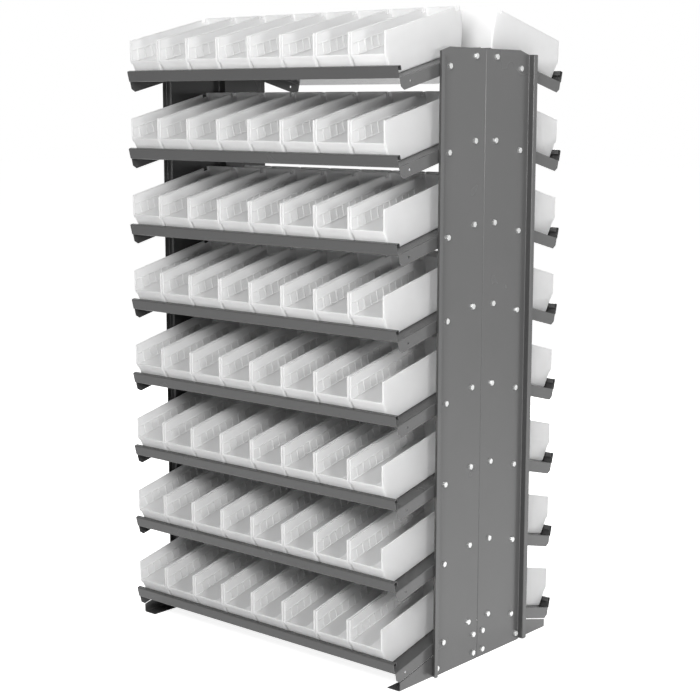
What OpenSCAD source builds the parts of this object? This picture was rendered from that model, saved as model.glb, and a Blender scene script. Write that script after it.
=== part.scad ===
// Double-sided bin pick rack: folded steel end panels carry sloping shelves on both sides,
// and every shelf holds a row of open-front plastic bins behind a rolled lip.
// X runs along the shelves, -Y is the front side, +Z is up, Z = 0 is the floor.

/* [Rack] */
// Height of the end panels above the floor
rack_h = 1525; // [1460:1:1800]
// Shelf length over its two end flanges
shelf_len = 908; // [904:1:1200]
// Height step from one shelf to the next
shelf_pitch = 200; // [186:1:206]
// Height of the lowest shelf's front edge above the floor
first_shelf_z = 50; // [46:1:60]
// Distance from the seam of the end panels to the front edge of a shelf
shelf_reach = 331; // [328:1:360]
// Height of the end panels above the front edge of the top shelf
top_clear = 75; // [75:1:120]
// Slope of the shelves, front edge low, in degrees
slope = 14; // [10:0.5:16]

/* [End panels] */
// Sheet thickness of the end panels
panel_t = 1.5; // [1:0.1:2.5]
// Depth of one end panel from the seam to its outward flange
panel_d = 184; // [182:1:220]
// How far the outward flange stands out of the panel
flange_w = 17.5; // [12:0.5:24]
// Width of the lip turned off the end of the outward flange
lip_w = 13; // [8:0.5:20]
// Width of the seam flange turned into the rack
seam_w = 25; // [22:0.5:34]
// Length of the cut across the top outer corner
corner_len = 40; // [20:1:60]
// Drop of the cut across the top outer corner
corner_drop = 10; // [4:1:20]
// Gap between the floor and the bottom of the outward flange
flange_lift = 5; // [2:0.5:15]

/* [Base] */
// Length of a base bracket from front to back
base_len = 620; // [480:1:700]
// Sheet thickness of a base bracket
base_t = 2; // [1.5:0.1:3]
// Width of the floor flange turned into the rack
base_flange = 40; // [25:1:60]
// Gap between a base bracket and the end flange of the lowest shelf
base_gap = 2; // [1:0.5:6]

/* [Shelves] */
// Sheet thickness of the shelves
shelf_t = 1.2; // [0.8:0.1:2]
// Depth of a shelf along its slope
shelf_d = 322; // [320:1:326]
// Height of the front lip above the shelf
front_lip = 27; // [20:0.5:30]
// Depth of the hem folded back from the top of the front lip
hem_d = 12; // [9:0.5:14]
// Height of the hem's inner leg
hem_leg = 12; // [6:0.5:16]
// Depth of the end flanges below the shelf
end_flange = 30; // [28:0.5:32]
// Size of the cut across the front lower corner of an end flange
end_cut = 10; // [4:0.5:14]
// Depth of the stiffening flange along the rear edge
rear_flange = 20; // [10:0.5:28]

/* [Bins] */
// Distance from one bin to the next
bin_pitch = 108; // [106:0.5:110]
// Width of a bin
bin_w = 104; // [96:0.5:104]
// Length of a bin from its nose to its back wall
bin_len = 300; // [270:1:302]
// Height of a bin
bin_h = 103; // [90:1:110]
// Height of the open front, and of the crease round the bin
bin_front = 53; // [40:1:60]
// Wall thickness of a bin
bin_wall = 2.4; // [1.6:0.1:3.2]
// How far the nose and the back draw in from the crease to the floor
bin_draft = 13; // [13:0.5:18]
// How far each side draws in from the crease to the floor
bin_side_draft = 5.5; // [2:0.5:8]
// How far the front edges of the side walls lean back
bin_rake = 11.5; // [4:0.5:20]
// How far the walls step down at the back of a bin
bin_step_drop = 9; // [4:0.5:14]
// Length of the low stretch of the side walls at the back
bin_step_len = 23; // [15:0.5:40]
// Shift of a row of bins along its shelf, seen from its own side
bin_shift = -10; // [-14:1:8]

/* [Fasteners] */
// Shank diameter of the shelf and base bolts
bolt_d = 8; // [6:1:8]
// Width across flats of their heads and nuts
bolt_af = 13; // [10:1:14]
// Height of a bolt head
head_h = 5.3; // [4:0.1:6.5]
// Height of a nut
nut_h = 6.5; // [5:0.1:8]
// Diameter of the spare hole near the front of a shelf's right end flange
spare_d = 6; // [5:0.5:9]
// Number of seam bolts at each end
seam_bolt_count = 5; // [3:1:5]

/* [Hidden] */
rows = floor((rack_h - top_clear - first_shelf_z) / shelf_pitch) + 1;
row_list = [1 : rows];
SIDES = ["front", "back"];
ENDS = ["right", "left"];

$fn = 48;
eps = 1;
panel_x = shelf_len / 2;
panel_r = panel_t;
shelf_r = 1.5;
base_r = base_t;
hole_play = 0.6;
bolt_hole = bolt_d + hole_play;
nut_play = 0.2;
shank_past_nut = 2;
bin_seat = 0.2;
bin_tuck = 6;
bin_nose_s = hem_d - bin_tuck;
bins_per_row = floor((shelf_len - 2 * abs(bin_shift)) / bin_pitch);
seam_bolt_d = 6;
seam_af = 10;
seam_head_h = 4;
seam_nut_h = 5;
seam_hole = seam_bolt_d + hole_play;
steel = [0.5, 0.5, 0.5];
shelf_grey = [0.42, 0.42, 0.42];
zinc = [0.85, 0.86, 0.87];
clear_plastic = [0.88, 0.88, 0.88, 0.75];

// Bolt positions along an end flange, measured along the slope, and their depth below the shelf
spare_s = 38;
bolt_s = [187, 294];
bolt_low = 0.3;
bolt_n = -end_flange / 2 - bolt_low;

function row_z(i) = first_shelf_z + (rows - i) * shelf_pitch;
function slope_y(s, n) = -shelf_reach + s * cos(slope) - n * sin(slope);
function slope_z(s, n) = s * sin(slope) + n * cos(slope);

// Bolts through a panel into the shelves of its side, as [distance from the seam, height]
shelf_bolt_yz = [for (i = row_list, s = bolt_s) [-slope_y(s, bolt_n), row_z(i) + slope_z(s, bolt_n)]];

// The base bracket's upper edge stays parallel to the lowest shelf's end flange
function base_top(y) = first_shelf_z + (shelf_reach - y) * tan(slope) - (end_flange + base_gap) / cos(slope);
base_peak = 14;
base_bolt_y = 20;
base_bolt_in = 14;
base_bolt_z = [68, 19, 20];
base_bolt_yz = [
  [base_bolt_y, base_bolt_z[0]],
  [base_bolt_y, base_bolt_z[1]],
  [panel_d - base_bolt_in, base_bolt_z[2]]
];

seam_gap = 6;
seam_end = 60;
seam_bolt_in = 1;
seam_clear = base_top(base_peak) + seam_gap;
seam_bolt_x = panel_x - seam_w / 2 - seam_bolt_in;
seam_step = (rack_h - seam_clear - 2 * seam_end) / (seam_bolt_count - 1);
seam_bolt_z = [for (k = [0 : seam_bolt_count - 1]) seam_clear + seam_end + k * seam_step];

bin_x = [for (k = [0 : bins_per_row - 1]) bin_shift + (k - (bins_per_row - 1) / 2) * bin_pitch];

// A quarter of a folded corner, in the quadrant given by the signs sx and sy
module corner(r, t, sx, sy) {
  intersection() {
    difference() {
      circle(r + t);
      circle(r);
    }
    translate([sx > 0 ? 0 : -r - t, sy > 0 ? 0 : -r - t])
      square(r + t);
  }
}

// A flat strip between two corner points
module strip(a, b) {
  translate(a)
    square(b - a);
}

// Section of an end panel: x out of the rack from the panel's inner face, y away from the seam
module panel_section() {
  t = panel_t;
  r = panel_r;
  d = panel_d;
  f = flange_w;
  strip([t - seam_w, 0], [-r, t]);
  translate([-r, t + r])
    corner(r, t, 1, -1);
  strip([0, t + r], [t, d - t - r]);
  translate([t + r, d - t - r])
    corner(r, t, -1, 1);
  strip([t + r, d - t], [f - t - r, d]);
  translate([f - t - r, d + r])
    corner(r, t, 1, -1);
  strip([f - t, d + r], [f, d + lip_w]);
}

// An end panel in its own frame: x out of the rack, y away from the seam
module panel() {
  top_flange = rack_h - corner_drop;
  difference() {
    linear_extrude(rack_h)
      panel_section();
    // cut across the top outer corner, and the flange level with its foot
    rotate([90, 0, 90])
      translate([0, 0, -seam_w])
        linear_extrude(seam_w + flange_w + eps)
          polygon([
            [panel_d - corner_len, rack_h],
            [panel_d - panel_t - panel_r, top_flange],
            [panel_d + lip_w + eps, top_flange],
            [panel_d + lip_w + eps, rack_h + eps],
            [panel_d - corner_len, rack_h + eps]
          ]);
    // the flange ends above the floor
    translate([panel_t, panel_d - panel_t - panel_r, -eps])
      cube([flange_w, panel_t + panel_r + lip_w + eps, flange_lift + eps]);
    // the seam flange ends above the base bracket
    translate([-seam_w, -eps, -eps])
      cube([seam_w, panel_t + panel_r + eps, seam_clear + eps]);
    for (p = concat(shelf_bolt_yz, base_bolt_yz))
      translate([-eps, p[0], p[1]])
        rotate([0, 90, 0])
          cylinder(d = bolt_hole, h = panel_t + 2 * eps);
    for (z = seam_bolt_z)
      translate([seam_bolt_x - panel_x, -eps, z])
        rotate([-90, 0, 0])
          cylinder(d = seam_hole, h = panel_t + 2 * eps);
  }
}

module at_end(e, s) {
  mirror([e == "left" ? 1 : 0, 0, 0])
    mirror([0, s == "front" ? 1 : 0, 0])
      translate([panel_x, 0, 0])
        children();
}

module upright(e, s) {
  color(steel)
    at_end(e, s)
      panel();
}

// A base bracket: upright plate against both panels, with its floor flange turned in
module base(e) {
  tall = rack_h / 4;
  half = base_len / 2;
  color(steel)
    at_end(e, "back")
      difference() {
        intersection() {
          translate([0, half, 0])
            rotate([90, 0, 0])
              linear_extrude(base_len) {
                strip([-base_t, base_t + base_r], [0, tall]);
                translate([-base_t - base_r, base_t + base_r])
                  corner(base_r, base_t, 1, -1);
                strip([-base_flange, 0], [-base_t - base_r, base_t]);
              }
          translate([-base_flange - eps, 0, 0])
            rotate([90, 0, 90])
              linear_extrude(base_flange + 2 * eps)
                polygon([
                  [-half, -eps],
                  [half, -eps],
                  [half, base_top(half)],
                  [base_peak, base_top(base_peak)],
                  [-base_peak, base_top(base_peak)],
                  [-half, base_top(half)]
                ]);
        }
        for (p = base_bolt_yz, m = [-1, 1])
          translate([-base_t - eps, m * p[0], p[1]])
            rotate([0, 90, 0])
              cylinder(d = bolt_hole, h = base_t + 2 * eps);
      }
}

// Section of a shelf along its slope: x from the front face, y out of the shelf
module shelf_section() {
  t = shelf_t;
  r = shelf_r;
  strip([t + r, -t], [shelf_d - t - r, 0]);
  translate([t + r, r])
    corner(r, t, -1, -1);
  strip([0, r], [t, front_lip - t - r]);
  translate([t + r, front_lip - t - r])
    corner(r, t, -1, 1);
  strip([t + r, front_lip - t], [hem_d - t - r, front_lip]);
  translate([hem_d - t - r, front_lip - t - r])
    corner(r, t, 1, 1);
  strip([hem_d - t, front_lip - hem_leg], [hem_d, front_lip - t - r]);
  translate([shelf_d - t - r, -t - r])
    corner(r, t, 1, 1);
  strip([shelf_d - t, -rear_flange], [shelf_d, -t - r]);
}

// One folded end of a shelf, at the +X end, in the shelf's own frame, with or without the spare hole
module shelf_end(spare) {
  t = shelf_t;
  r = shelf_r;
  front = t + r;
  back = shelf_d - t - r;
  overlap = 6;
  difference() {
    intersection() {
      translate([0, back, 0])
        rotate([90, 0, 0])
          linear_extrude(back - front) {
            strip([panel_x - t - r - overlap, -t], [panel_x - t - r, 0]);
            translate([panel_x - t - r, -t - r])
              corner(r, t, 1, 1);
            strip([panel_x - t, -end_flange], [panel_x, -t - r]);
          }
      translate([panel_x - t - r - overlap - eps, 0, 0])
        rotate([90, 0, 90])
          linear_extrude(t + r + overlap + 2 * eps)
            polygon([
              [front, eps],
              [front, end_cut - end_flange],
              [front + end_cut, -end_flange],
              [back - end_cut, -end_flange],
              [back, end_cut - end_flange],
              [back, eps]
            ]);
    }
    for (s = bolt_s)
      translate([panel_x - t - eps, s, bolt_n])
        rotate([0, 90, 0])
          cylinder(d = bolt_hole, h = t + 2 * eps);
    if (spare)
      translate([panel_x - t - eps, spare_s, bolt_n])
        rotate([0, 90, 0])
          cylinder(d = spare_d, h = t + 2 * eps);
  }
}

module shelf_body() {
  t = shelf_t;
  r = shelf_r;
  inside = panel_x - t - r;
  // pan and rear flange between the folded ends
  rotate([90, 0, 90])
    translate([0, 0, -inside])
      linear_extrude(2 * inside)
        shelf_section();
  // the lip runs the full length of the shelf
  rotate([90, 0, 90])
    translate([0, 0, -panel_x])
      linear_extrude(2 * panel_x)
        intersection() {
          shelf_section();
          translate([-eps, -t - eps])
            square([hem_d + eps, front_lip + t + 2 * eps]);
        }
  shelf_end(true);
  mirror([1, 0, 0])
    shelf_end(false);
}

// Puts what is drawn in a shelf's own frame onto row i of a side
module on_row(s, i) {
  rotate([0, 0, s == "back" ? 180 : 0])
    translate([0, -shelf_reach, row_z(i)])
      rotate([slope, 0, 0])
        children();
}

module shelf(s, i) {
  color(shelf_grey)
    on_row(s, i)
      shelf_body();
}

// Bin outline seen from the side: x back from the nose, y up
module bin_side(inset) {
  w = inset;
  lean = bin_draft / bin_front;
  if (w == 0)
    polygon([
      [bin_draft, 0],
      [bin_len - bin_draft, 0],
      [bin_len, bin_front],
      [bin_len, bin_h - bin_step_drop],
      [bin_len - bin_step_len, bin_h - bin_step_drop],
      [bin_len - bin_step_len, bin_h],
      [bin_rake, bin_h],
      [0, bin_front]
    ]);
  else
    polygon([
      [bin_draft - lean * w + w, w],
      [bin_len - bin_draft + lean * w - w, w],
      [bin_len - w, bin_front],
      [bin_len - w, bin_h + eps],
      [-eps, bin_h + eps],
      [-eps, bin_front],
      [w, bin_front]
    ]);
}

// Bin outline seen from the front: x across, y up
module bin_across(inset) {
  w = inset;
  top = w == 0 ? bin_h : bin_h + eps;
  half = bin_w / 2 - w;
  low = half - bin_side_draft + bin_side_draft * w / bin_front;
  polygon([[-low, w], [low, w], [half, bin_front], [half, top], [-half, top], [-half, bin_front]]);
}

module bin_block(inset) {
  intersection() {
    rotate([90, 0, 90])
      translate([0, 0, -bin_w])
        linear_extrude(2 * bin_w)
          bin_side(inset);
    translate([0, bin_len + 2 * eps, 0])
      rotate([90, 0, 0])
        linear_extrude(bin_len + 4 * eps)
          bin_across(inset);
  }
}

// One bin in its shelf's frame: drafted below the crease, open at the top and upper front
module bin_at(x) {
  translate([x, bin_nose_s, bin_seat])
    difference() {
      bin_block(0);
      bin_block(bin_wall);
    }
}

module bin(s, i) {
  color(clear_plastic)
    on_row(s, i)
      bin_at(bin_x[bins_per_row - 1]);
}

module bins(s, i) {
  color(clear_plastic)
    on_row(s, i)
      for (k = [0 : bins_per_row - 2])
        bin_at(bin_x[k]);
}

// Hexagon with flats w apart, standing from z = 0 to h
module hex(w, h) {
  cylinder(d = w / cos(30), h = h, $fn = 6);
}

// A bolt along +Z: its head sits on z = 0 and the shank runs down through grip, nut and a little more
module bolt(d, w, hh, grip, nh) {
  hex(w, hh);
  translate([0, 0, -grip - nh - shank_past_nut])
    cylinder(d = d, h = grip + nh + shank_past_nut + hh / 2);
}

module nut(d, w, nh) {
  difference() {
    hex(w, nh);
    translate([0, 0, -eps])
      cylinder(d = d + nut_play, h = nh + 2 * eps);
  }
}

// Every end and side of the rack in turn
module all_ends() {
  for (e = ENDS, s = SIDES)
    at_end(e, s)
      children();
}

module panel_bolts(points, grip) {
  for (p = points)
    translate([panel_t, p[0], p[1]])
      rotate([0, 90, 0])
        bolt(bolt_d, bolt_af, head_h, grip, nut_h);
}

module panel_nuts(points, under) {
  for (p = points)
    translate([-under - nut_h, p[0], p[1]])
      rotate([0, 90, 0])
        nut(bolt_d, bolt_af, nut_h);
}

module shelf_bolts() {
  color(zinc)
    all_ends()
      panel_bolts(shelf_bolt_yz, panel_t + shelf_t);
}

module shelf_nuts() {
  color(zinc)
    all_ends()
      panel_nuts(shelf_bolt_yz, shelf_t);
}

module base_bolts() {
  color(zinc)
    all_ends()
      panel_bolts(base_bolt_yz, panel_t + base_t);
}

module base_nuts() {
  color(zinc)
    all_ends()
      panel_nuts(base_bolt_yz, base_t);
}

// Seam bolts run from front to back through the two seam flanges
module at_seam_bolts() {
  for (m = [-1, 1], z = seam_bolt_z)
    translate([m * seam_bolt_x, 0, z])
      children();
}

module seam_bolts() {
  color(zinc)
    at_seam_bolts()
      translate([0, -panel_t, 0])
        rotate([90, 0, 0])
          bolt(seam_bolt_d, seam_af, seam_head_h, 2 * panel_t, seam_nut_h);
}

module seam_nuts() {
  color(zinc)
    at_seam_bolts()
      translate([0, panel_t + seam_nut_h, 0])
        rotate([90, 0, 0])
          nut(seam_bolt_d, seam_af, seam_nut_h);
}

for (e = ENDS, s = SIDES)
  upright(e, s);
for (e = ENDS)
  base(e);
for (s = SIDES, i = row_list)
  shelf(s, i);
shelf_bolts();
shelf_nuts();
base_bolts();
base_nuts();
seam_bolts();
seam_nuts();
for (s = SIDES, i = row_list)
  bin(s, i);
for (s = SIDES, i = row_list)
  bins(s, i);
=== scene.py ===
"""Looks of a double-sided bin pick rack: painted steel, zinc bolts and moulded see-through bins."""
import math

import bmesh
import bpy
from mathutils import Matrix, Vector


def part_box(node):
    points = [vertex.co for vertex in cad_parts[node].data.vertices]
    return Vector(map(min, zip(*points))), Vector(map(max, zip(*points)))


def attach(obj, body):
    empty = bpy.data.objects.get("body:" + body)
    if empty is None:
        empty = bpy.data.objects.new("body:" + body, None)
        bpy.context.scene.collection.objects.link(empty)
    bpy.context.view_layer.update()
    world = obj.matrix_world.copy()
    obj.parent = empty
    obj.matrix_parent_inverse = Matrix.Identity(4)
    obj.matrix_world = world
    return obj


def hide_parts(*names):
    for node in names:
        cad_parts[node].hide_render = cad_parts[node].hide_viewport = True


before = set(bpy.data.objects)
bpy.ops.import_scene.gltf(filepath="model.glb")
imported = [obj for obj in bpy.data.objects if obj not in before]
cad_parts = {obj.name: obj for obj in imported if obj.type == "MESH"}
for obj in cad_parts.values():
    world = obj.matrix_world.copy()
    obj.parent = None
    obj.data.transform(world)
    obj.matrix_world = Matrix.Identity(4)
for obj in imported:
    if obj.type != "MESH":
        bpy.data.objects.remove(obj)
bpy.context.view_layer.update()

# Sizes in millimetres, the same as the steel and the bins were drawn to
MM = 0.001
PANEL_SHEET = 1.5
SHELF_SHEET = 1.2
BASE_SHEET = 2
PANEL_INNER = 454
PANEL_FACE = PANEL_INNER + PANEL_SHEET
SHELF_REACH = 331
FIRST_SHELF = 50
SHELF_STEP = 200
ROWS = 8
SLOPE = math.radians(14)
SIDES = ("front", "back")

# A row of bins: the step from bin to bin, the row's shift from the middle of the shelf, how far
# the noses stand behind the shelf's front edge, and the play under each bin
BINS_IN_ROW = 8
BIN_STEP = 108
BIN_SHIFT = -10
BIN_NOSE = 6
BIN_SEAT = 0.2

# One bin, from its nose back and from its floor up: BIN_FRONT is the height of the front wall and
# of the crease, below which the walls draw in by the drafts, and above which they lean by the rake
BIN_W = 104
BIN_LEN = 300
BIN_H = 103
BIN_FRONT = 53
BIN_WALL = 2.4
BIN_DRAFT = 13
BIN_SIDE_DRAFT = 3
BIN_RAKE = 11.5
SLOT_FROM = 277
SLOT_TO = 292
SLOT_FLOOR = 94
TUB_ROUND = 5
EDGE_EASE = 0.5
# faces lower than this belong to the thick floor
FLOOR_EDGE = 9

# Hex fasteners: across the flats, head or nut height, shank or bore, reach below the head
SHELF_BOLT = {"across": 13, "head": 5.3, "shank": 8, "reach": 11.2}
BASE_BOLT = {"across": 13, "head": 5.3, "shank": 8, "reach": 12}
SEAM_BOLT = {"across": 10, "head": 4, "shank": 6, "reach": 10}
BIG_NUT = {"across": 13, "height": 6.5, "bore": 8.2}
SMALL_NUT = {"across": 10, "height": 5, "bore": 6.2}
HEX_CORNER = 1 / math.cos(math.pi / 6)
HEX_TURN = 60
ROUND_SIDES = 14
# the thread that shows: its start above the tip, its pitch and turns, and the root's share of
# the shank
THREAD_FROM = 1.0
THREAD_HALF_PITCH = 0.4
THREAD_TURNS = 3
THREAD_ROOT = 0.86

# Bolt places as (distance from the seam, height); a shelf's bolts are set out up its slope from
# the front edge and below its deck
SHELF_BOLT_S = (187, 294)
SHELF_BOLT_N = -15.3
SHELF_BOLTS = [
    (SHELF_REACH - s * math.cos(SLOPE) + SHELF_BOLT_N * math.sin(SLOPE),
     FIRST_SHELF + (ROWS - row) * SHELF_STEP
     + s * math.sin(SLOPE) + SHELF_BOLT_N * math.cos(SLOPE))
    for row in range(1, ROWS + 1) for s in SHELF_BOLT_S]
BASE_BOLTS = [(20, 68), (20, 19), (170, 20)]

# The bolts inside the seam are spread evenly over the height of their node
SEAM_BOLT_IN = 13.5
SEAM_BOLT_X = PANEL_INNER - SEAM_BOLT_IN
SEAM_COUNT = 5
SEAM_HALF = SEAM_BOLT["across"] / 2 * HEX_CORNER
seam_low, seam_high = (corner.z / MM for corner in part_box("seam_bolts"))
seam_step = (seam_high - seam_low - 2 * SEAM_HALF) / (SEAM_COUNT - 1)
SEAM_BOLT_Z = [seam_low + SEAM_HALF + k * seam_step for k in range(SEAM_COUNT)]

# How near a place in millimetres or a direction has to be when parts of a mesh are picked
NEAR = 1
FINE = 0.1
FACING = 0.99


# Ways of working that every piece shares

def start():
    """Leaves edit mode and lets go of everything that is selected."""
    if bpy.context.object and bpy.context.object.mode != "OBJECT":
        bpy.ops.object.mode_set(mode="OBJECT")
    bpy.ops.object.select_all(action="DESELECT")


def take(*objs):
    """Selects these objects alone, the first one active."""
    start()
    for o in objs:
        o.select_set(True)
    bpy.context.view_layer.objects.active = objs[0]
    return objs[0]


def pick(kind, test):
    """In edit mode, selects the faces, edges or verts that pass the test, given in millimetres."""
    bpy.ops.mesh.select_mode(type={"faces": "FACE", "edges": "EDGE", "verts": "VERT"}[kind])
    bpy.ops.mesh.select_all(action="DESELECT")
    mesh = bpy.context.edit_object.data
    bm = bmesh.from_edit_mesh(mesh)
    for part in getattr(bm, kind):
        if kind == "faces":
            chosen = test(part.calc_center_median() / MM, part.normal)
        elif kind == "edges":
            chosen = test(part.verts[0].co / MM, part.verts[1].co / MM)
        else:
            chosen = test(part.co / MM)
        if chosen:
            part.select_set(True)
    bm.select_flush_mode()
    bmesh.update_edit_mesh(mesh)


def finish_with(obj, kind, **settings):
    """Adds one modifier with its settings and applies it."""
    take(obj)
    m = obj.modifiers.new(kind.lower(), kind)
    for name, value in settings.items():
        setattr(m, name, value)
    bpy.ops.object.modifier_apply(modifier=m.name)


def box(middle, size, turn=0.0):
    """A box about its middle, turned about X; millimetres."""
    start()
    bpy.ops.mesh.primitive_cube_add(
        size=1,
        location=[v * MM for v in middle],
        rotation=(turn, 0, 0),
        scale=[v * MM for v in size],
    )
    bpy.ops.object.transform_apply(location=True, rotation=True, scale=True)
    return bpy.context.object


def bar(middle, size, round_off, turn=0.0):
    """A box with its edges eased; millimetres."""
    eased = box(middle, size, turn)
    finish_with(eased, "BEVEL", width=round_off * MM, segments=2, limit_method="ANGLE")
    return eased


def prism(sides, radius, low, high):
    """An upright prism about Z between two heights; millimetres."""
    start()
    bpy.ops.mesh.primitive_cylinder_add(
        vertices=sides, radius=radius * MM, depth=(high - low) * MM,
        location=(0, 0, (low + high) / 2 * MM))
    bpy.ops.object.transform_apply(location=True)
    return bpy.context.object


def drop_slivers(obj, narrow=0.01):
    """Takes out the faces without area that a cut leaves, and closes the mesh over them."""
    take(obj)
    bpy.ops.object.mode_set(mode="EDIT")
    bpy.ops.mesh.select_all(action="SELECT")
    bpy.ops.mesh.remove_doubles(threshold=narrow * MM)
    bpy.ops.mesh.quads_convert_to_tris()
    bpy.ops.mesh.dissolve_degenerate(threshold=narrow * MM)
    bpy.ops.object.mode_set(mode="OBJECT")


def one_piece(name, objs):
    """Joins objects into the first one and leaves it at the origin with its place in its mesh."""
    whole = take(*objs)
    if len(objs) > 1:
        bpy.ops.object.join()
    bpy.ops.object.transform_apply(location=True, rotation=True, scale=True)
    whole.name = name
    whole.data.name = name
    return whole


def copied(pattern, places):
    """Copies of a finished pattern, each with its own mesh, one at each place."""
    made = []
    for place in places:
        c = pattern.copy()
        c.data = pattern.data.copy()
        bpy.context.scene.collection.objects.link(c)
        c.matrix_world = place
        made.append(c)
    bpy.context.view_layer.update()
    return made


def soften(obj, degrees):
    """Smooth shading over the rounded edges, flat over the folds and the wide faces."""
    take(obj)
    bpy.ops.object.shade_smooth_by_angle(angle=math.radians(degrees))
    finish_with(obj, "WEIGHTED_NORMAL", keep_sharp=True, weight=100)


# Materials

def linear(code):
    """A colour written as an sRGB hex value, as the linear colour that a shader takes."""
    parts = [int(code[i:i + 2], 16) / 255 for i in (1, 3, 5)]
    return [c / 12.92 if c <= 0.04045 else ((c + 0.055) / 1.055) ** 2.4 for c in parts] + [1.0]


def node(tree, kind, inputs=None, **settings):
    """Adds one node with its settings; an input is a value or another node's output."""
    n = tree.nodes.new(kind)
    for name, value in settings.items():
        setattr(n, name, value)
    for name, value in (inputs or {}).items():
        if isinstance(value, bpy.types.NodeSocket):
            tree.links.new(value, n.inputs[name])
        else:
            n.inputs[name].default_value = value
    return n


def material(name):
    """A new material with an empty node tree and its output."""
    m = bpy.data.materials.new(name)
    m.use_nodes = True
    m.node_tree.nodes.clear()
    return m, m.node_tree, m.node_tree.nodes.new("ShaderNodeOutputMaterial")


def noise(tree, place, size, detail):
    """Cloudy noise whose features are about size millimetres apart."""
    return node(tree, "ShaderNodeTexNoise", {
        "Vector": place, "Scale": 1 / (size * MM), "Detail": detail}).outputs["Fac"]


def spread(tree, value, low, high):
    """A value from 0 to 1, taken to the range from low to high."""
    return node(tree, "ShaderNodeMapRange", {
        "Value": value, "To Min": low, "To Max": high}).outputs["Result"]


def mixed(tree, share, none, full):
    """The colour none where share is 0, and full where it is 1."""
    return node(tree, "ShaderNodeMix", {
        "Factor": share, "A": none, "B": full}, data_type="RGBA").outputs["Result"]


def worked_out(tree, operation, *values, clamp=False):
    """One step of arithmetic between node outputs."""
    return node(tree, "ShaderNodeMath", dict(enumerate(values)),
                operation=operation, use_clamp=clamp).outputs["Value"]


def painted_light_share(tree):
    """Share of painted light: 1 on faces that look out past the rack's ends, 0 on faces that look
    elsewhere, which take painted shade.
    """
    spot = node(tree, "ShaderNodeNewGeometry").outputs
    facing = node(tree, "ShaderNodeSeparateXYZ", {"Vector": spot["Normal"]}).outputs["X"]
    where = node(tree, "ShaderNodeSeparateXYZ", {"Vector": spot["Position"]}).outputs["X"]
    outward_for_painted_light = worked_out(tree, "MULTIPLY", facing, worked_out(tree, "SIGN", where))
    return node(tree, "ShaderNodeMapRange", {
        "Value": outward_for_painted_light, "From Min": 0.2, "From Max": 0.8}).outputs["Result"]


def powder_coat(name, ends, painted_shade_pair):
    """Satin grey polyester powder coat, baked on folded sheet, with a faint orange peel.

    ends and rest are each a light and a dark tone of one paint: the faces that look out past the
    rack's ends take the first pair as painted light, and every other face takes the second, darker
    pair as painted shade.
    """
    m, tree, out = material(name)
    place = node(tree, "ShaderNodeTexCoord").outputs["Object"]
    # film thickness drifts over a hand's breadth
    drift = noise(tree, place, size=180, detail=3.0)
    # the peel is about 2 mm across; drawn at 5 mm so that it shows
    peel = noise(tree, place, size=5, detail=2.0)
    # stray grains of powder, a millimetre or two across and 9 mm apart
    grain = node(tree, "ShaderNodeTexVoronoi", {"Vector": place, "Scale": 1 / (9 * MM)})
    grain_mask = node(tree, "ShaderNodeMapRange", {
        "Value": grain.outputs["Distance"], "From Min": 0.05, "From Max": 0.22,
        "To Min": 0.35, "To Max": 0.0}).outputs["Result"]
    film = worked_out(tree, "ADD", drift, grain_mask, clamp=True)
    # a paler painted-light copy and a darker painted-shade copy of the same paint, each drifting
    # with the film
    painted_shade_tone, painted_light_tone = (mixed(tree, film, linear(dark), linear(light))
                            for light, dark in (painted_shade_pair, ends))
    skin = node(tree, "ShaderNodeBump", {"Height": peel, "Strength": 0.12, "Distance": 0.4 * MM})
    paint = node(tree, "ShaderNodeBsdfPrincipled", {
        "Base Color": mixed(tree, painted_light_share(tree), painted_shade_tone, painted_light_tone),
        "Roughness": spread(tree, drift, 0.22, 0.3),
        "IOR": 1.5, "Specular IOR Level": 0.5, "Normal": skin.outputs["Normal"]})
    tree.links.new(paint.outputs["BSDF"], out.inputs["Surface"])
    return m


def zinc_plate():
    """Bright zinc plate over cold-headed steel: pale, a little cloudy, with soft reflections."""
    m, tree, out = material("zinc_plated_steel")
    place = node(tree, "ShaderNodeTexCoord").outputs["Object"]
    # the plate clouds over patches of about 3 mm
    cloud = noise(tree, place, size=3, detail=3.0)
    plate = node(tree, "ShaderNodeBsdfPrincipled", {
        "Base Color": mixed(tree, cloud, linear("#c4c6c8"), linear("#e6e6e3")),
        "Metallic": 1.0, "Roughness": spread(tree, cloud, 0.3, 0.48)})
    tree.links.new(plate.outputs["BSDF"], out.inputs["Surface"])
    return m


def polypropylene(name, clear, through):
    """Natural polypropylene, injection moulded: milky, lets light through, soft gloss outside.

    clear is the share of the light that passes straight, and through the share that is scattered
    to the other side of the wall.
    """
    m, tree, out = material(name)
    place = node(tree, "ShaderNodeTexCoord").outputs["Object"]
    # flow in the mould clouds the wall over about 40 mm
    flow = noise(tree, place, size=40, detail=2.0)
    # the mould's fine spark texture is drawn at 2 mm so that it shows
    spark = noise(tree, place, size=2, detail=1.0)
    tone = mixed(tree, flow, linear("#f6f6f6"), linear("#fbfbfb"))
    skin = node(tree, "ShaderNodeBump", {"Height": spark, "Strength": 0.08, "Distance": 0.2 * MM})
    wall = node(tree, "ShaderNodeBsdfPrincipled", {
        "Base Color": tone, "Roughness": spread(tree, flow, 0.3, 0.42), "IOR": 1.49,
        "Alpha": 1 - clear, "Normal": skin.outputs["Normal"]})
    glow = node(tree, "ShaderNodeBsdfTranslucent", {"Color": tone})
    both = node(tree, "ShaderNodeMixShader", {
        0: through, 1: wall.outputs["BSDF"], 2: glow.outputs["BSDF"]})
    tree.links.new(both.outputs["Shader"], out.inputs["Surface"])
    return m


# Bins

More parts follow.
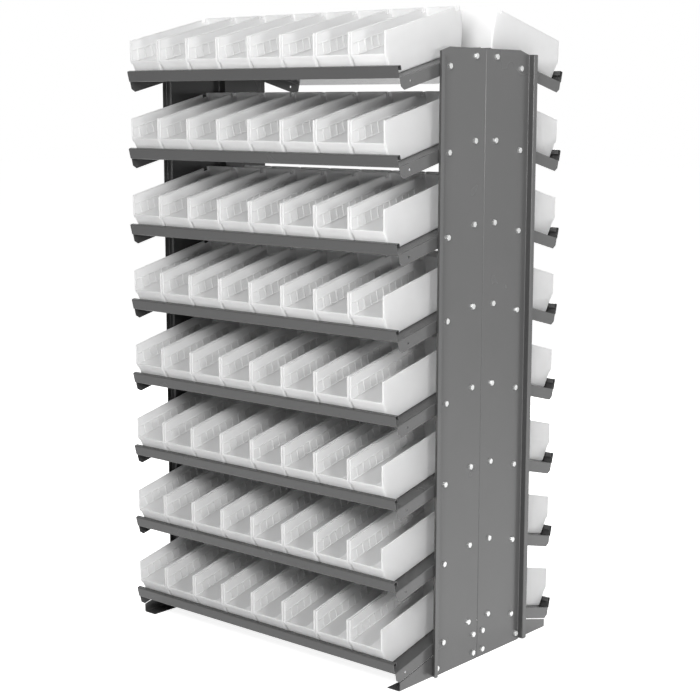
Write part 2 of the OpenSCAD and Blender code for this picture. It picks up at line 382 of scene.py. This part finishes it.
def moulded_bin():
    """One bin with its nose at Y = 0: drafted tub, raked sides, slotted at the back, open front."""
    tub = box((0, BIN_LEN / 2, BIN_FRONT / 2), (BIN_W, BIN_LEN, BIN_FRONT))
    bpy.ops.object.mode_set(mode="EDIT")
    # the floor draws in on all four sides
    pick("faces", lambda c, n: n.z < -FACING)
    bpy.ops.transform.resize(
        value=(1 - 2 * BIN_SIDE_DRAFT / BIN_W, 1 - 2 * BIN_DRAFT / BIN_LEN, 1),
        center_override=(0, BIN_LEN / 2 * MM, 0),
    )
    # the upper walls rise from the crease, open above and in front
    pick("faces", lambda c, n: n.z > FACING)
    bpy.ops.mesh.extrude_region_move(
        TRANSFORM_OT_translate={"value": (0, 0, (BIN_H - BIN_FRONT) * MM)})
    above_crease = BIN_FRONT + NEAR
    pick("faces", lambda c, n: n.z > FACING or (c.z > above_crease and n.y < -FACING))
    bpy.ops.mesh.delete(type="FACE")
    pick("verts", lambda v: v.z > BIN_H - NEAR and v.y < NEAR)
    bpy.ops.transform.translate(value=(0, BIN_RAKE * MM, 0))

    def rounded(a, b):
        """The floor's edges, and the standing corners below the crease and at the back."""
        standing = abs(a.z - b.z) > BIN_FRONT / 2
        low, back = max(a.z, b.z) < above_crease, min(a.y, b.y) > BIN_LEN - NEAR
        return max(a.z, b.z) < NEAR or (standing and (low or back))

    pick("edges", rounded)
    bpy.ops.mesh.bevel(offset=TUB_ROUND * MM, segments=4, affect="EDGES")
    # a slot parts each side wall from the back
    for at in (SLOT_FROM, SLOT_TO):
        pick("faces", lambda c, n: c.z > above_crease)
        bpy.ops.mesh.bisect(plane_co=(0, at * MM, 0), plane_no=(0, 1, 0))
    pick("faces", lambda c, n: c.z > above_crease and SLOT_FROM < c.y < SLOT_TO)
    bpy.ops.mesh.bisect(plane_co=(0, 0, SLOT_FLOOR * MM), plane_no=(0, 0, 1))
    pick("faces", lambda c, n: c.z > SLOT_FLOOR and SLOT_FROM < c.y < SLOT_TO)
    bpy.ops.mesh.delete(type="FACE")
    bpy.ops.object.mode_set(mode="OBJECT")
    finish_with(tub, "SOLIDIFY", thickness=BIN_WALL * MM, offset=-1, use_even_offset=True)
    finish_with(tub, "BEVEL", width=EDGE_EASE * MM, segments=2, limit_method="ANGLE",
                angle_limit=math.radians(50))
    return tub


def bars_inside():
    """The rims and divider ribs moulded onto a bin's walls, for both sides, the front and the back.

    Names that end in _in say how far a bar's middle lies inside the wall's inner face, and names
    that end in _short how much shorter than the wall it is.
    """
    inner = BIN_W / 2 - BIN_WALL
    rake = math.atan2(BIN_RAKE, BIN_H - BIN_FRONT)
    nose = math.atan2(BIN_DRAFT, BIN_FRONT)
    rim_in, rim_w, rim_h, rim_round = -0.6, 3.4, 3, 0.7
    rim_drop, rim_short = 1.3, 1
    edge_in, edge_w, edge_d, edge_round = -0.2, 4.2, 5, 0.8
    edge_back, edge_over = 2.2, 1
    low_ledge, low_in, low_w, low_h, low_short = 50, 0.3, 3.6, 2.4, 8
    high_ledge, high_in, high_w, high_h = 78, 0.1, 3.0, 2.2
    high_middle, high_len = 135, 254
    rib_in, rib_w, rib_d = 0.4, 3.6, 3.0
    rib_from, rib_step, rib_count = 30, 24.5, 10
    ledge_round = 0.6
    rim_z = BIN_H - rim_drop
    bars = []
    for side in (-1, 1):
        # rolled top edge, as far as the slot
        bars.append(bar((side * (inner - rim_in), (BIN_RAKE + SLOT_FROM) / 2, rim_z),
                        (rim_w, SLOT_FROM - BIN_RAKE - rim_short, rim_h), rim_round))
        # thick front edge, leaning back with the wall
        edge_y = BIN_RAKE / 2 + edge_back * math.cos(rake)
        edge_z = (BIN_H + BIN_FRONT) / 2 - edge_back * math.sin(rake)
        edge_len = (BIN_H - BIN_FRONT) / math.cos(rake) + edge_over
        bars.append(bar((side * (inner - edge_in), edge_y, edge_z),
                        (edge_w, edge_d, edge_len), edge_round, -rake))
        # ledges along the crease and above it
        bars.append(bar((side * (inner - low_in), BIN_LEN / 2, low_ledge),
                        (low_w, BIN_LEN - low_short, low_h), ledge_round))
        bars.append(bar((side * (inner - high_in), high_middle, high_ledge),
                        (high_w, high_len, high_h), ledge_round))
        # divider ribs stand between the two ledges
        rib = bar((side * (inner - rib_in), rib_from, (low_ledge + high_ledge) / 2),
                  (rib_w, rib_d, high_ledge - low_ledge), ledge_round)
        finish_with(rib, "ARRAY", count=rib_count, use_relative_offset=False,
                    use_constant_offset=True, constant_offset_displace=(0, rib_step * MM, 0))
        bars.append(rib)
    # the rim across the front, a little proud of the nose
    lip_short, lip_d, lip_h, lip_round = 2.5, 3.6, 9.2, 0.9
    down, inward = 4.4, 0.7
    bars.append(bar((0, down * math.sin(nose) + inward * math.cos(nose),
                     BIN_FRONT - down * math.cos(nose) + inward * math.sin(nose)),
                    (BIN_W - lip_short, lip_d, lip_h), lip_round, nose))
    # and the back wall's top edge
    back_short, back_d, back_proud = 14, 3.2, 0.5
    bars.append(bar((0, BIN_LEN - BIN_WALL / 2 - back_proud, rim_z),
                    (BIN_W - back_short, back_d, rim_h), rim_round))
    return one_piece("bars", bars)


def finished_bin():
    """The tub with its rims and ribs grown on as one moulding."""
    tub = moulded_bin()
    tub.data.materials.append(plastic)
    # the thick floor and the polished inner skin let less light through than the outer skin
    tub.data.materials.append(thick_plastic)
    middle = Vector((0, BIN_LEN / 2 * MM, BIN_H * MM))
    for face in tub.data.polygons:
        if face.center.z < FLOOR_EDGE * MM or face.normal.dot(middle - face.center) > 0:
            face.material_index = 1
    bars = bars_inside()
    bars.data.materials.append(plastic)
    finish_with(tub, "BOOLEAN", object=bars, operation="UNION", solver="EXACT", use_self=True)
    bpy.data.objects.remove(bars)
    drop_slivers(tub)
    return tub


def row_place(side, row):
    """Where a shelf's own frame lies: Y up its slope from the front edge, Z out of the shelf."""
    turn = Matrix.Rotation(math.pi if side == "back" else 0, 4, "Z")
    edge = Vector((0, -SHELF_REACH, FIRST_SHELF + (ROWS - row) * SHELF_STEP)) * MM
    return turn @ Matrix.Translation(edge) @ Matrix.Rotation(SLOPE, 4, "X")


def bin_place(k):
    """Where bin k stands in its shelf's frame."""
    x = BIN_SHIFT + (k - (BINS_IN_ROW - 1) / 2) * BIN_STEP
    return Matrix.Translation((x * MM, BIN_NOSE * MM, BIN_SEAT * MM))


# Fasteners

def hex_bolt(across, head, shank, reach):
    """A cold-headed hex bolt along Z: dished and chamfered head on Z = 0, threaded end below."""
    chamfer, dish_in, dish_deep = 0.11 * across, 0.14 * across, 0.5
    crown = prism(6, across / 2 * HEX_CORNER, 0, head)
    bpy.ops.object.mode_set(mode="EDIT")
    pick("edges", lambda a, b: min(a.z, b.z) > head - FINE)
    bpy.ops.mesh.bevel(offset=chamfer * MM, segments=2, affect="EDGES")
    pick("faces", lambda c, n: n.z > FACING)
    bpy.ops.mesh.inset(thickness=dish_in * MM)
    bpy.ops.transform.translate(value=(0, 0, -dish_deep * MM))
    bpy.ops.object.mode_set(mode="OBJECT")
    # the stem reaches a little way up into the head
    tip, stem_in = 0.6, 1
    stem = prism(ROUND_SIDES, shank / 2, -reach, stem_in)
    bpy.ops.object.mode_set(mode="EDIT")
    pick("edges", lambda a, b: max(a.z, b.z) < FINE - reach)
    bpy.ops.mesh.bevel(offset=tip * MM, segments=1, affect="EDGES")
    # the last turns of thread show past the nut: crest and root by turns
    cuts = [THREAD_FROM + THREAD_HALF_PITCH * n - reach for n in range(2 * THREAD_TURNS)]
    for z in cuts:
        bpy.ops.mesh.select_all(action="SELECT")
        bpy.ops.mesh.bisect(plane_co=(0, 0, z * MM), plane_no=(0, 0, 1))
    pick("verts", lambda v: any(abs(v.z - root) < FINE / 2 for root in cuts[1::2]))
    bpy.ops.transform.resize(value=(THREAD_ROOT, THREAD_ROOT, 1), center_override=(0, 0, 0))
    bpy.ops.object.mode_set(mode="OBJECT")
    return one_piece("hex_bolt", [crown, stem])


def hex_nut(across, height, bore):
    """A hex nut standing on Z = 0, chamfered on both faces and bored through."""
    chamfer = 0.08 * across
    nut = prism(6, across / 2 * HEX_CORNER, 0, height)
    bpy.ops.object.mode_set(mode="EDIT")
    pick("edges", lambda a, b: abs(a.z - b.z) < FINE)
    bpy.ops.mesh.bevel(offset=chamfer * MM, segments=1, affect="EDGES")
    bpy.ops.object.mode_set(mode="OBJECT")
    drill = prism(ROUND_SIDES, bore / 2, -height, 2 * height)
    finish_with(nut, "BOOLEAN", object=drill, operation="DIFFERENCE", solver="EXACT")
    bpy.data.objects.remove(drill)
    return nut


def end_places(points, x):
    """Places on the end panels, Z out of the rack, each turned as it happened to tighten."""
    point_spin, end_spin, side_spin = 37, 11, 23
    places = []
    for end in (1, -1):
        for side in (1, -1):
            for n, (y, z) in enumerate(points):
                degrees = (n * point_spin + end * end_spin + side * side_spin) % HEX_TURN
                spin = math.radians(degrees)
                places.append(Matrix.Translation((end * x * MM, side * y * MM, z * MM))
                              @ Matrix.Rotation(end * math.pi / 2, 4, "Y")
                              @ Matrix.Rotation(spin, 4, "Z"))
    return places


def seam_places(y):
    """Places along the seam inside both ends, Z out of the clamped flanges."""
    return [Matrix.Translation((end * SEAM_BOLT_X * MM, y * MM, z * MM))
            @ Matrix.Rotation(math.pi / 2, 4, "X")
            @ Matrix.Rotation(math.radians(z % HEX_TURN), 4, "Z")
            for end in (1, -1) for z in SEAM_BOLT_Z]


def fastened(name, pattern, places):
    """One node's worth of fasteners, copied from a pattern, standing for that node."""
    group = one_piece("zinc_" + name, copied(pattern, places))
    group.data.materials.append(plating)
    soften(group, degrees=25)
    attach(group, "frame")
    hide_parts(name)


# Dressing the rack

# one grey paint with painted light: the paler pair on faces that look out past the rack's ends, the
# darker pair as painted shade on every other face
steel = powder_coat("grey_powder_coat_painted_light", ends=("#5e5e5e", "#585858"), painted_shade_pair=("#404040", "#3a3a3a"))
plating = zinc_plate()
plastic = polypropylene("natural_polypropylene", clear=0.05, through=0.6)
thick_plastic = polypropylene("natural_polypropylene_inner", clear=0.0, through=0.45)

for name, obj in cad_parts.items():
    if name.startswith(("upright", "base_right", "base_left", "shelf_front", "shelf_back")):
        obj.data.materials.clear()
        obj.data.materials.append(steel)

pattern_bin = finished_bin()
bin_places = [bin_place(k) for k in range(BINS_IN_ROW)]
seven = one_piece("seven_bins", copied(pattern_bin, bin_places[:-1]))
last = one_piece("last_bin", copied(pattern_bin, bin_places[-1:]))
for pattern in (seven, last):
    soften(pattern, degrees=32)
for side in SIDES:
    for row in range(1, ROWS + 1):
        for pattern, cad in ((seven, "bins"), (last, "bin")):
            cad_node = f"{cad}_{side}_{row}"
            piece = one_piece(f"moulded_{cad_node}", copied(pattern, [row_place(side, row)]))
            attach(piece, cad_node)
            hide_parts(cad_node)
for spent in (pattern_bin, seven, last):
    bpy.data.objects.remove(spent)

shelf_bolt = hex_bolt(**SHELF_BOLT)
base_bolt = hex_bolt(**BASE_BOLT)
seam_bolt = hex_bolt(**SEAM_BOLT)
big_nut = hex_nut(**BIG_NUT)
small_nut = hex_nut(**SMALL_NUT)
big_nut_face = PANEL_INNER - BIG_NUT["height"]
fastened("shelf_bolts", shelf_bolt, end_places(SHELF_BOLTS, PANEL_FACE))
fastened("base_bolts", base_bolt, end_places(BASE_BOLTS, PANEL_FACE))
fastened("shelf_nuts", big_nut, end_places(SHELF_BOLTS, big_nut_face - SHELF_SHEET))
fastened("base_nuts", big_nut, end_places(BASE_BOLTS, big_nut_face - BASE_SHEET))
fastened("seam_bolts", seam_bolt, seam_places(-PANEL_SHEET))
fastened("seam_nuts", small_nut, seam_places(PANEL_SHEET + SMALL_NUT["height"]))
for spent in (shelf_bolt, base_bolt, seam_bolt, big_nut, small_nut):
    bpy.data.objects.remove(spent)


# Studio: pale floor, white surround, soft light from the right

def looked_at(tree):
    """1 for rays that see the background straight, mirrored or through clear plastic.

    Rays that are scattered in a bin's wall count as transmitted and as diffuse, and get 0.
    """
    ray = node(tree, "ShaderNodeLightPath").outputs
    clear = worked_out(tree, "SUBTRACT", ray["Is Transmission Ray"], ray["Is Diffuse Ray"],
                       clamp=True)
    mirrored = worked_out(tree, "MAXIMUM", clear, ray["Is Glossy Ray"])
    return worked_out(tree, "MAXIMUM", mirrored, ray["Is Camera Ray"])


def soft_box(name, place, aim, size, watts):
    """A square soft box that faces a point; metres."""
    lamp = bpy.data.lights.new(name, "AREA")
    lamp.shape = "SQUARE"
    lamp.size = size
    lamp.energy = watts
    lit_box = bpy.data.objects.new(name, lamp)
    bpy.context.scene.collection.objects.link(lit_box)
    lit_box.location = place
    lit_box.rotation_euler = (Vector(aim) - Vector(place)).to_track_quat("-Z", "Y").to_euler()


FLOOR_SIZE = 60
FLOOR_DROP = 0.0005
start()
bpy.ops.mesh.primitive_plane_add(size=FLOOR_SIZE, location=(0, 0, -FLOOR_DROP))
floor = bpy.context.object
floor.name = "studio_floor"
pale, tree, out = material("pale_floor")
matt = node(tree, "ShaderNodeBsdfDiffuse", {"Color": linear("#f2f2f2")})
lift = node(tree, "ShaderNodeEmission", {"Color": linear("#ffffff"), "Strength": 0.86})
lit = node(tree, "ShaderNodeAddShader", {0: matt.outputs["BSDF"], 1: lift.outputs["Emission"]})
shown = node(tree, "ShaderNodeMixShader", {
    0: looked_at(tree), 1: matt.outputs["BSDF"], 2: lit.outputs["Shader"]})
tree.links.new(shown.outputs["Shader"], out.inputs["Surface"])
floor.data.materials.append(pale)

scene = bpy.context.scene
world = bpy.data.worlds.new("studio")
scene.world = world
world.use_nodes = True
tree = world.node_tree
tree.nodes.clear()
out = tree.nodes.new("ShaderNodeOutputWorld")
soft = node(tree, "ShaderNodeBackground", {"Color": linear("#ffffff"), "Strength": 0.16})
white = node(tree, "ShaderNodeBackground", {"Color": linear("#ffffff"), "Strength": 1.0})
both = node(tree, "ShaderNodeMixShader", {
    0: looked_at(tree), 1: soft.outputs["Background"], 2: white.outputs["Background"]})
tree.links.new(both.outputs["Shader"], out.inputs["Surface"])

# a small box beside the right end draws the shadows, a large one above the camera fills the bins,
# a high one lights the tops, and one behind on the left lights the far side
soft_box("key_box", place=(2.66, -1.49, 1.3), aim=(0, 0, 0.9), size=0.4, watts=22)
soft_box("front_box", place=(1.9, -3.0, 2.6), aim=(0, 0, 0.8), size=1.4, watts=140)
soft_box("high_box", place=(1.3, -0.3, 5.0), aim=(0, 0, 0.8), size=1.0, watts=36)
soft_box("rear_box", place=(-1.8, 3.2, 1.9), aim=(0, 0, 0.8), size=1.4, watts=110)


# Camera, as in the photograph

CAMERA_AT = (2.637, -3.047, 1.381)
CAMERA_YAW, CAMERA_PITCH, CAMERA_ROLL = (math.radians(v) for v in (40.58, 8.95, 0.15))
CAMERA_LENS = 78.72
CAMERA_SENSOR = 36
camera = bpy.data.objects.new("camera", bpy.data.cameras.new("camera"))
scene.collection.objects.link(camera)
scene.camera = camera
camera.location = CAMERA_AT
ahead = Vector((-math.sin(CAMERA_YAW) * math.cos(CAMERA_PITCH),
                math.cos(CAMERA_YAW) * math.cos(CAMERA_PITCH), -math.sin(CAMERA_PITCH)))
camera.rotation_euler = (ahead.to_track_quat("-Z", "Y").to_matrix()
                         @ Matrix.Rotation(CAMERA_ROLL, 3, "Z")).to_euler()
camera.data.sensor_width = CAMERA_SENSOR
camera.data.lens = CAMERA_LENS
scene.view_settings.view_transform = "Standard"
